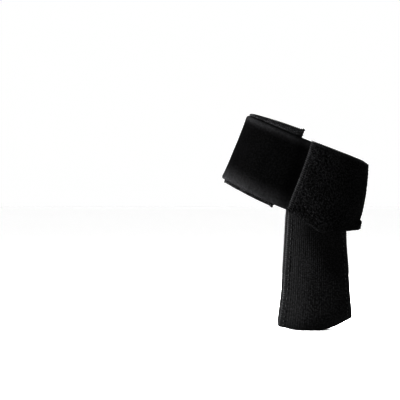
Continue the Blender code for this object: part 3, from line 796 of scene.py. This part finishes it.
def cuff_medial_edge(t, inward, lift):
    down = mix(CUFF_TOP_DOWN, CUFF_BOTTOM_EDGE + 0.0018, t)
    out = FACE_OUT - 0.0005 + lift
    return leg(medial_turn(seam_behind(down) + MEDIAL_EDGE_BACK + inward, down, FACE_OUT), down, out)


def hem_point(t, angle, grow):
    """A point of the hem's rounded section; angle 0 faces out, a quarter turn faces down the leg."""
    turn = cuff_turn(t, CUFF_BOTTOM_EDGE, FACE_OUT)
    high, thick = hem_half_height(turn) + grow, hem_half_thickness(turn) + grow
    shape = (np.abs(np.cos(angle)) ** 3.0 + np.abs(np.sin(angle)) ** 3.0) ** (-1 / 3.0)
    return leg(
        turn, hem_down(turn) + high * shape * np.sin(angle), hem_out(turn) + thick * shape * np.cos(angle)
    )


def cuff_hem():
    """The thick folded hem, tallest behind the heel cord."""
    sides, count = 26, 230
    t = spaced(CUFF_LENGTH, CUFF_LENGTH / count, 0.0016)
    angle = np.arange(sides) * 2 * math.pi / sides
    t, angle = np.meshgrid(t, angle, indexing="ij")
    close = rounding(np.minimum(t, 1.0 - t) * CUFF_LENGTH, 0.0016)
    flat = np.stack((t * CUFF_LENGTH, angle * 0.002, t * 0.0), axis=-1)
    pile = 0.00022 * noise(
        flat, 0.0014, 7.0
    ) + 0.00012 * noise(flat, 0.0007, 8.0) + 0.00035 * noise(flat, 0.006, 9.0)
    grow = pile - 0.0009 * (1.0 - close)
    points = hem_point(t, angle, grow)
    rows, columns = t.shape
    index = np.arange(rows * columns).reshape(rows, columns)
    after = np.roll(index, -1, axis=1)
    quads = np.stack((index[:-1], index[1:], after[1:], after[:-1]), axis=-1).reshape(-1, 4)
    made = new_piece(
        "cuff_hem", points.reshape(-1, 3), list(quads) + [index[0, ::-1], index[-1]], loop_cloth,
        flat.reshape(-1, 3),
    )
    settle(made, "brace", "rear_cuff_bottom_hem")


def curls(name, base, count, radius, height, width, body, made_of, seed):
    """Loops of yarn standing on a surface. base(random, count) gives points and three directions."""
    random = np.random.RandomState(seed)
    points, outward, first, second = base(random, count)
    angle = random.uniform(0.0, 2 * math.pi, count)[:, None]
    along = first * np.cos(angle) + second * np.sin(angle)
    wide = radius * random.uniform(0.6, 1.35, count)[:, None, None]
    tall = height * random.uniform(0.45, 1.25, count)[:, None, None]
    turn = np.linspace(0.0, math.pi, 6)[None, :, None]
    lean = random.uniform(-0.5, 0.5, count)[:, None, None]
    leaning = (second * np.cos(angle) - first * np.sin(angle))[:, None] * lean
    raised = (outward[:, None] + leaning) * tall * np.sin(turn)
    path = points[:, None] + along[:, None] * wide * np.cos(turn) + raised
    around = np.broadcast_to(np.cross(along, outward)[:, None], path.shape)
    made = tubes(name, path, around, width, 3, made_of)
    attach(made, body)


def cuff_base(low, high, bottom=0.05, top=0.97):
    def base(random, count):
        u = random.uniform(low, high, count)
        v = random.uniform(bottom, top, count)
        out = cuff_face_out(u, v) + 0.0007
        point = cuff_place(u, v, out)
        outward = unit(cuff_place(u, v, out + 0.001) - point)
        first = unit(cuff_place(u + 0.002, v, out) - point)
        return point - outward * 0.0002, outward, first, np.cross(outward, first)

    return base


def hem_base(random, count):
    t, angle = random.uniform(0.003, 0.997, count), random.uniform(-1.6, 2.2, count)
    point = hem_point(t, angle, 0.0)
    outward = unit(hem_point(t, angle, 0.001) - point)
    first = unit(hem_point(t + 0.002, angle, 0.0) - point)
    return point - outward * 0.0002, outward, first, np.cross(outward, first)


def cuff_stitching():
    """Overlock thread round the cuff's edges, its needle lines, and the seams that hold the layers."""
    radius = 0.00019
    top = whip(
        "cuff_top_overlock", cuff_top_edge, CUFF_LENGTH, (0.0013, 0.0), (0.0017, 0.0021), 0.0017, radius,
        thread,
    )
    settle(top, "brace", "rear_cuff_top_binding")
    side = whip(
        "cuff_lateral_overlock", cuff_lateral_edge, 0.057, (0.0014, 0.0), (0.0018, 0.0011), 0.0016, 0.00021,
        thread,
    )
    settle(side, "brace", "rear_cuff_lateral_binding")
    far = whip(
        "cuff_medial_overlock", cuff_medial_edge, 0.057, (0.0014, 0.0), (0.0018, 0.0011), 0.0016, 0.00021,
        thread,
    )
    settle(far, "brace", "rear_cuff_medial_binding")

    def needle(edge, inward, lift):
        return lambda t, up: edge(t, t * 0.0 + inward, lift + up)

    rows = [
        ("cuff_lateral_needle_line", needle(cuff_lateral_edge, 0.0034, 0.0008), 0.055),
        ("cuff_medial_needle_line", needle(cuff_medial_edge, 0.0034, 0.0008), 0.055),
    ]
    for name, line, length in rows:
        settle(running(name, line, length, 0.0021, 0.80, 0.00020, 0.0003, thread), "brace")


# ---- stirrup ----
STIRRUP_LENGTH, STIRRUP_WIDTH = 0.252, 0.0515
RIB = 0.00165


def stirrup_place(tops, depth_of=0.0, inset=0.0):
    def place(across, height, lift):
        return stirrup(across, 2.0 * height - 1.0, lift - depth_of, inset, tops)

    return place


def stirrup_webbing():
    size = (STIRRUP_WIDTH, STIRRUP_LENGTH)
    us, vs = spaced(size[0], RIB / 4, 0.0010), spaced(size[1], 0.0028, 0.0010)
    u, v, du, dv = border(us, vs, size)
    half = 0.0010 * rounding(du, 0.0010) * rounding(dv, 0.0010)
    flat = np.stack((u * size[0], v * size[1], u * 0.0), axis=-1)
    rib = np.abs(np.sin(u * size[0] / RIB * math.pi)) ** 0.8 * 0.00030
    inside = smooth(du, 0.0030, 0.0045)
    bow = 0.00025 * noise(flat, 0.016, 11.0) + 0.00010 * noise(flat, 0.0025, 12.0)
    high = -0.0010 + half + (rib - 0.00015) * inside + bow * inside
    low = -0.0010 - half
    # Painted light: the webbing is coloured lighter towards its front edge, fading out 26 mm back, as if lit
    # from the front.
    painted_light = PAINTED_LIGHT_SHARE * (1.0 - smooth(u * size[0], 0.004, 0.026))
    made = panel("stirrup_webbing", stirrup_place(STIRRUP_TOPS), us, vs, size, low, high, webbing_cloth, painted_light)
    settle(made, "brace", "stirrup_strap")


def stirrup_padding():
    size = (STIRRUP_WIDTH - 0.004, STIRRUP_LENGTH - 0.006)
    us, vs = spaced(size[0], 0.0020, 0.0014), spaced(size[1], 0.0030, 0.0014)
    _, _, du, dv = border(us, vs, size)
    half = 0.00095 * rounding(du, 0.0018) * rounding(dv, 0.0018)
    tops = (STIRRUP_TOPS[0] - 0.001, STIRRUP_TOPS[1] - 0.001)
    place = stirrup_place(tops, 0.0020 + 0.0006 + 0.00105, 0.0022)
    made = panel("stirrup_padding", place, us, vs, size, -half, half, foam_rubber)
    swell(made, 0.0002)
    settle(made, "brace", "stirrup_foam")


def stirrup_lining():
    size = (STIRRUP_WIDTH - 0.0044, STIRRUP_LENGTH - 0.020)
    us, vs = spaced(size[0], 0.0016, 0.0004), spaced(size[1], 0.0026, 0.0004)
    u, v, du, dv = border(us, vs, size)
    half = 0.0004 * rounding(du, 0.0004) * rounding(dv, 0.0004)
    flat = np.stack((u * size[0], v * size[1], u * 0.0), axis=-1)
    middle = 0.00012 * noise(flat, 0.012, 14.0)
    place = stirrup_place((0.0895, 0.0735), 0.0020 + 0.0021 + 0.0012 + 0.0004, 0.0022)
    made = panel("stirrup_skin_lining", place, us, vs, size, middle - half, middle + half, brushed_cloth)
    settle(made, "brace", "stirrup_lining")


def stirrup_edge(across):
    def edge(t, inward, lift):
        return stirrup(across + 0.0 * t, 2.0 * t - 1.0, lift - 0.0010, inward, STIRRUP_TOPS)

    return edge


def stirrup_stitching():
    span = (0.03, 0.97)
    for across, side in ((0.0, "front"), (1.0, "rear")):
        name = f"stirrup_{side}_stitching"
        edge = stirrup_edge(across)
        made = whip(
            name, edge, STIRRUP_LENGTH, (0.0013, -0.0002), (0.0016, 0.0014), 0.0018, 0.00019, thread, span
        )
        settle(made, "brace", f"stirrup_{side}_overlock")

    def line(across, inward):
        def place(t, up):
            return stirrup(
                across + 0.0 * t, 2.0 * mix(0.04, 0.96, t) - 1.0, 0.0001 + up, inward + 0.0 * t, STIRRUP_TOPS
            )

        return place

    for name, across, inward in (
        ("stirrup_front_needle_line", 0.0, 0.0033),
        ("stirrup_rear_needle_line", 1.0, 0.0033),
    ):
        settle(running(name, line(across, inward), 0.232, 0.0040, 0.42, 0.00032, 0.00040, thread), "brace")


# ---- front strap ----
def strap_edges(turn):
    side = np.sin(turn) ** 2
    spread = np.where(np.sin(turn) > 0.0, 0.0070, 0.0035) - 0.0019
    return -0.0006 + 0.0019 * side, 0.0512 + spread * side


def strap_out(turn):
    over_pad = smooth(turn, math.radians(90.0), math.radians(101.0))
    over_cuff = smooth(turn, math.radians(232.0), math.radians(266.0))
    return mix(mix(ANCHOR_OUT, STRAP_OVER_PAD_OUT, over_pad), STRAP_CLOSED_OUT, over_cuff)


STRAP_HALF, STRAP_WIDTH, STRAP_CROWN = 0.0012, 0.0530, 0.0007
PAINTED_SHEEN_TOP, PAINTED_SHEEN_BOTTOM = 0.0075, 0.0150  # how far in the strap's edges are coloured lighter, as painted sheen
TAB_EXTRA = 0.0022  # added to the tab's length between its fold and its free end


def strap_start(down):
    return lateral_turn(seam_behind(down) - HINGE_AHEAD + ANCHOR_LENGTH, down, ANCHOR_OUT)


def tab_end(down):
    start = medial_turn(TAB_AT + SEAM_SLOPE * down, down, STRAP_CLOSED_OUT)
    return start + arc_turn(TAB_LENGTH + TAB_EXTRA, STRAP_CLOSED_OUT / 2)


STRAP_LENGTH = 0.232
TAB_SHARE = TAB_LENGTH / STRAP_LENGTH
ANCHOR_SHARE = ANCHOR_LENGTH / STRAP_LENGTH


def strap_place(along, height, lift):
    """The whole front strap, from its sewn-in end (0) round the front to the hook tab's free end (1)."""
    turn = mix(strap_start(0.028), tab_end(0.028), along)
    top, bottom = strap_edges(turn)
    sewn = 1.0 - smooth(along, 0.35 * ANCHOR_SHARE, 1.15 * ANCHOR_SHARE)
    top = mix(top, 0.0030, sewn)
    bottom = mix(bottom, ANCHOR_BOTTOM, 1.0 - smooth(along, 0.10 * ANCHOR_SHARE, 0.95 * ANCHOR_SHARE))
    past = (along - (1.0 - TAB_SHARE) - TAB_TAPER_FROM * TAB_SHARE) / ((1.0 - TAB_TAPER_FROM) * TAB_SHARE)
    past = np.clip(past, 0.0, 0.985)
    taper = TAB_TAPER * (1.0 - np.sqrt(1.0 - past * past))
    down = mix(bottom - taper, top + taper, height)
    turn = mix(strap_start(down), tab_end(down), along)
    return leg(turn, down, strap_out(turn) + lift)


def strap_profile(u, v, size):
    """Half thickness and lift of the strap's middle: rolled, slightly fuller edges and a soft crown."""
    dv = np.minimum(v, 1.0 - v) * size[1]
    du = np.minimum(u, 1.0 - u) * STRAP_LENGTH
    edge = rounding(dv, 0.0022) * rounding(du, 0.0012)
    welt = 0.00012 * np.exp(-(((dv - 0.0022) / 0.0012) ** 2))
    half = (STRAP_HALF + welt) * edge
    crown = STRAP_CROWN * (1.0 - (2.0 * v - 1.0) ** 4) * smooth(u, ANCHOR_SHARE * 0.9, ANCHOR_SHARE * 1.6)
    shin = np.exp(-(((u - share_of_turn(math.pi)) / 0.10) ** 2))
    flare = shin * (0.0017 * (1.0 - v) ** 3 + 0.0004 * v**4 - 0.0007)
    return half, crown * (1.0 - shin) + flare - 0.00015


def strap_piece(name, start, end):
    """A length of the strap, between two shares of it; its cut ends are closed."""
    size = ((end - start) * STRAP_LENGTH, STRAP_WIDTH)
    whole = (start > 0.0, end < 1.0)
    us = mix(start, end, spaced(size[0], 0.0016, 0.0012, (not whole[0], not whole[1])))
    vs = spaced(size[1], 0.0013, 0.0020)
    u, v = np.meshgrid(us, vs, indexing="ij")
    half, lift = strap_profile(u, v, size)
    flat = np.stack((u * STRAP_LENGTH, v * size[1], u * 0.0), axis=-1)
    ripple = 0.00016 * noise(flat, 0.012, 21.0) + 0.00005 * noise(flat, 0.002, 22.0)
    outer, inner = strap_place(u, v, lift + half + ripple), strap_place(u, v, lift - half)
    # Painted sheen: the strap's top and bottom bands are coloured lighter, as if their rolled edges caught
    # the light; the lower band is wider.
    top_sheen = 1.0 - smooth((1.0 - v) * size[1], 0.0, PAINTED_SHEEN_TOP)
    low_sheen = 1.0 - smooth(v * size[1], 0.0, PAINTED_SHEEN_BOTTOM)
    return slab(name, outer, inner, flat, np.maximum(top_sheen, low_sheen), jersey_cloth)


def joint_line(name):
    joint = next(j for j in frame["joints"] if j["name"] == name)
    return Vector(joint["pos_m"]), Vector(joint["axis"]).normalized()


def share_of_turn(turn):
    start, end = strap_start(0.028), tab_end(0.028)
    return float((turn - start) / (end - start))


def blend_over(piece, joint):
    """Finds a joint's line and the strap's direction across it, then bakes the piece's transform; the piece
    is not bent.
    """
    middle, axis = joint_line(joint)
    share = {
        "front_strap_open": ANCHOR_SHARE,
        "closing_strap_fold": share_of_turn(FOLD_TURN),
        "hook_tab_peel": 1.0 - TAB_SHARE - TAB_EXTRA / STRAP_LENGTH,
    }[joint]
    step = np.array(0.01)
    along = strap_place(share + step, np.array(0.5), 0.0) - strap_place(share - step, np.array(0.5), 0.0)
    along = Vector(along)
    along = (along - axis * along.dot(axis)).normalized()
    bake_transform(piece)


def front_strap():
    near_cut, far_cut = share_of_turn(math.radians(200.0)), share_of_turn(math.radians(250.0))
    near = strap_piece("front_strap_near", 0.0, near_cut)
    middle = strap_piece("front_strap_fold", near_cut, far_cut)
    far = strap_piece("closing_strap_tab", far_cut, 1.0)
    near_nodes, middle_nodes = ("front_strap_anchor", "front_strap_web"), ("closing_strap_web",)
    parts = (
        (near, near_cut, ("brace", "front_strap"), "front_strap_open", near_nodes, "front_pad"),
        (
            middle, far_cut - near_cut, ("front_strap", "closing_strap"), "closing_strap_fold", middle_nodes,
            "cuff_shell",
        ),
        (far, 1.0 - far_cut, ("closing_strap", "hook_tab"), "hook_tab_peel", ("hook_tab_web",), "cuff_shell"),
    )
    for piece, share, bodies, joint, nodes, under in parts:
        blend_over(piece, joint)
        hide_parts(*nodes)


# ---- front pad ----
PAD_SIZE = (0.104, 0.056)
PAD_OUT, PAD_HALF = 0.0023, 0.0018


def pad_edges(turn):
    side = np.sin(turn) ** 2
    return -0.0022 * side, 0.0510 + 0.0048 * side


def pad_turn(along, down):
    end = PAD_END_TOP + PAD_END_SLOPE * down
    return mix(lateral_turn(end, down, PAD_OUT), PAD_MEDIAL_TURN + arc_turn(0.0025), along)


def pad_place(along, height, lift):
    top, bottom = pad_edges(pad_turn(along, 0.028))
    corner = smooth(1.0 - along, 0.965, 1.0)
    down = mix(bottom + 0.0025 + 0.0008 * corner, top - 0.0025 - 0.0010 * corner, height)
    return leg(pad_turn(along, down), down, PAD_OUT + lift)


def pad_lean(height):
    """How far the pad's long margins are pushed out against the strap."""
    margin = np.minimum(height, 1.0 - height) * PAD_SIZE[1]
    return 0.0013 * (1.0 - smooth(margin, 0.001, 0.009))


def front_pad():
    us, vs = spaced(PAD_SIZE[0], 0.0013, 0.0022), spaced(PAD_SIZE[1], 0.0013, 0.0022)
    u, v, du, dv = border(us, vs, PAD_SIZE)
    puff = 0.0009 + (PAD_HALF - 0.0009) * smooth(np.minimum(du, dv), 0.0012, 0.0050)
    half = puff * rounding(du, 0.0010) * rounding(dv, 0.0010)
    lean = pad_lean(v)
    flat = np.stack((u * PAD_SIZE[0], v * PAD_SIZE[1], u * 0.0), axis=-1)
    pile = 0.00018 * noise(flat, 0.0012, 31.0) + 0.00010 * noise(flat, 0.0006, 32.0)
    pile = pile * smooth(np.minimum(du, dv), 0.0, 0.0015)
    # Painted highlight: the pad's margins above and below the strap are coloured lighter, as if catching the
    # light.
    painted_light = PAINTED_LIGHT_SHARE * (1.0 - smooth(dv, 0.004, 0.010))
    made = panel("front_pad", pad_place, us, vs, PAD_SIZE, lean - half, lean + half + pile, loop_cloth, painted_light)
    swell(made, 0.0006, 0.72)
    settle(made, "front_strap", "front_pad_face", "front_pad_foam", "front_pad_lining")


def pad_edge(side):
    def edge(t, inward, lift):
        share = {"top": 1.0, "bottom": 0.0}.get(side)
        if share is not None:
            height = np.abs(share - inward / PAD_SIZE[1])
            return pad_place(t, height, lift + pad_lean(height))
        along = inward / PAD_SIZE[0] if side == "lateral" else 1.0 - inward / PAD_SIZE[0]
        return pad_place(along, t, lift + pad_lean(t))

    return edge


def pad_base(random, count):
    """Places on the pad's margins above and below the strap."""
    u = random.uniform(0.01, 0.99, count)
    from_edge = random.uniform(0.0004, 0.0062, count) / PAD_SIZE[1]
    v = np.where(np.arange(count) % 2, from_edge, 1.0 - from_edge)
    lift = pad_lean(v) + 0.0010
    point = pad_place(u, v, lift)
    outward = unit(pad_place(u, v, lift + 0.001) - point)
    first = unit(pad_place(u + 0.002, v, lift) - point)
    return point, outward, first, np.cross(outward, first)


def pad_stitching():
    long, tall = PAD_SIZE
    for side, length in (("top", long), ("bottom", long), ("lateral", tall), ("medial", tall)):
        made = whip(
            f"front_pad_{side}_stitching", pad_edge(side), length, (0.0013, 0.0), (
                0.0017, 0.0013
            ), 0.0017, 0.00021, thread, (0.01, 0.99)
        )
        settle(made, "front_strap", f"front_pad_{side}_overlock")


# ---- hook tab ----
TAB_BOTTOM, TAB_TALL = 0.0518, 0.0512  # the tab's lower edge and height, under the hook patch
HOOK_OUT = 0.0090


def hook_base_place(along, height, lift):
    down = mix(0.0465, 0.0065, height)
    share = 1.0 - TAB_SHARE * (1.0 - mix(0.04, 0.80, along))
    turn = mix(strap_start(down), tab_end(down), share)
    crown = STRAP_CROWN * (1.0 - (2.0 * (TAB_BOTTOM - down) / TAB_TALL - 1.0) ** 4)  # the tab's own crown
    return leg(turn, down, HOOK_OUT + crown + lift)


def hook_patch():
    size = (0.0300, 0.0400)
    us, vs = spaced(size[0], 0.0014, 0.0004), spaced(size[1], 0.0014, 0.0004)
    u, v, du, dv = border(us, vs, size)
    half = 0.00028 * rounding(du, 0.0003) * rounding(dv, 0.0003)
    middle = 0.00030 + 0.0 * u
    base = panel("hook_patch_base", hook_base_place, us, vs, size, middle - half, middle + half, hook_plastic)
    settle(base, "hook_tab", "hook_patch")
    rows, columns = 26, 19
    u, v = np.meshgrid((np.arange(columns) + 0.5) / columns, (np.arange(rows) + 0.5) / rows, indexing="ij")
    u, v = u.ravel(), v.ravel()
    turn = np.linspace(-0.15, 1.25, 6) * math.pi
    way = np.where(np.arange(len(u)) % 2, 1.0, -1.0)[:, None]
    along = u[:, None] + 0.00035 / size[0] * np.cos(turn) * way
    path = hook_base_place(
        along, v[:, None] + 0.0 * turn, -0.0002 - 0.00045 * np.clip(np.sin(turn), -0.35, 1.0)
    )
    around = hook_base_place(along, v[:, None] + 0.01 + 0.0 * turn, -0.0002 - 0.00045 * np.sin(turn)) - path
    hooks = tubes("hook_patch_hooks", path, around, 0.00010, 4, hook_plastic)
    settle(hooks, "hook_tab")


def tab_end_edge(t, inward, lift):
    along = 1.0 - inward / STRAP_LENGTH
    return strap_place(along + 0.0 * t, t, lift)


def hook_tab_end():
    made = whip(
        "hook_tab_end_stitching", tab_end_edge, 0.036, (0.0014, 0.0), (0.0018, 0.0015), 0.0016, 0.00021,
        thread, (0.03, 0.97),
    )
    settle(made, "hook_tab", "hook_tab_end_binding")


cuff_padding()
achilles_padding()
cuff_shell()
cuff_lining()
cuff_hem()
cuff_stitching()
stirrup_padding()
stirrup_webbing()
stirrup_lining()
stirrup_stitching()
front_strap()
front_pad()
pad_stitching()
hook_patch()
hook_tab_end()
for number, (low, high) in enumerate(((0.004, 0.34), (0.34, 0.66), (0.66, 0.996))):
    curls(
        f"cuff_pile_{number}", cuff_base(low, high), 1500, 0.00085, 0.00055, 0.00015, "brace", yarn,
        100 + number,
    )
curls("cuff_hem_pile", hem_base, 1500, 0.00085, 0.00070, 0.00015, "brace", yarn, 200)
curls("front_pad_pile", pad_base, 1100, 0.00070, 0.00050, 0.00013, "front_strap", yarn, 300)


# ---- studio ----
FLOOR_REACH = 60.0
DISPLAY_GAMMA = 0.50  # a hard display curve: crushed blacks on pure white


def studio():
    floor_mesh = bpy.data.meshes.new("floor")
    corners = [(x * FLOOR_REACH, y * FLOOR_REACH, 0) for x, y in ((-1, -1), (1, -1), (1, 1), (-1, 1))]
    floor_mesh.from_pydata(corners, [], [(0, 1, 2, 3)])
    floor = bpy.data.objects.new("floor", floor_mesh)
    paint = bpy.data.materials.new("floor_paint")
    paint.use_nodes = True
    paint.node_tree.nodes["Principled BSDF"].inputs["Base Color"].default_value = (0.99, 0.99, 0.99, 1.0)
    paint.node_tree.nodes["Principled BSDF"].inputs["Roughness"].default_value = 0.9
    floor_mesh.materials.append(paint)
    bpy.context.scene.collection.objects.link(floor)
    world = bpy.data.worlds.new("studio_world")
    world.use_nodes = True
    world.node_tree.nodes["Background"].inputs["Color"].default_value = (1.0, 1.0, 1.0, 1.0)
    world.node_tree.nodes["Background"].inputs["Strength"].default_value = 1.0
    bpy.context.scene.world = world
    bpy.context.scene.view_settings.view_transform = "Standard"
    bpy.context.scene.view_settings.gamma = DISPLAY_GAMMA
    aim = Vector((0.0, 0.0, 0.08))
    for name, place, size, power in (
        ("key_light", (-2.0, -0.85, 0.24), 0.6, 440.0),
        ("fill_light", (0.2, -2.0, 0.9), 0.9, 2.0),
        ("back_light", (0.9, 2.0, 0.6), 0.9, 170.0),
    ):
        data = bpy.data.lights.new(name, "AREA")
        data.size, data.energy = size, power
        lamp = bpy.data.objects.new(name, data)
        lamp.location = place
        lamp.rotation_euler = (aim - Vector(place)).to_track_quat("-Z", "Y").to_euler()
        bpy.context.scene.collection.objects.link(lamp)


def camera():
    data = bpy.data.cameras.new("camera")
    data.lens, data.sensor_width = 360.0, 36.0
    made = bpy.data.objects.new("camera", data)
    made.location = (-0.08415, -3.08, 0.0998)
    made.rotation_euler = (math.radians(90.0), 0.0, 0.0)
    bpy.context.scene.collection.objects.link(made)
    bpy.context.scene.camera = made


studio()
camera()
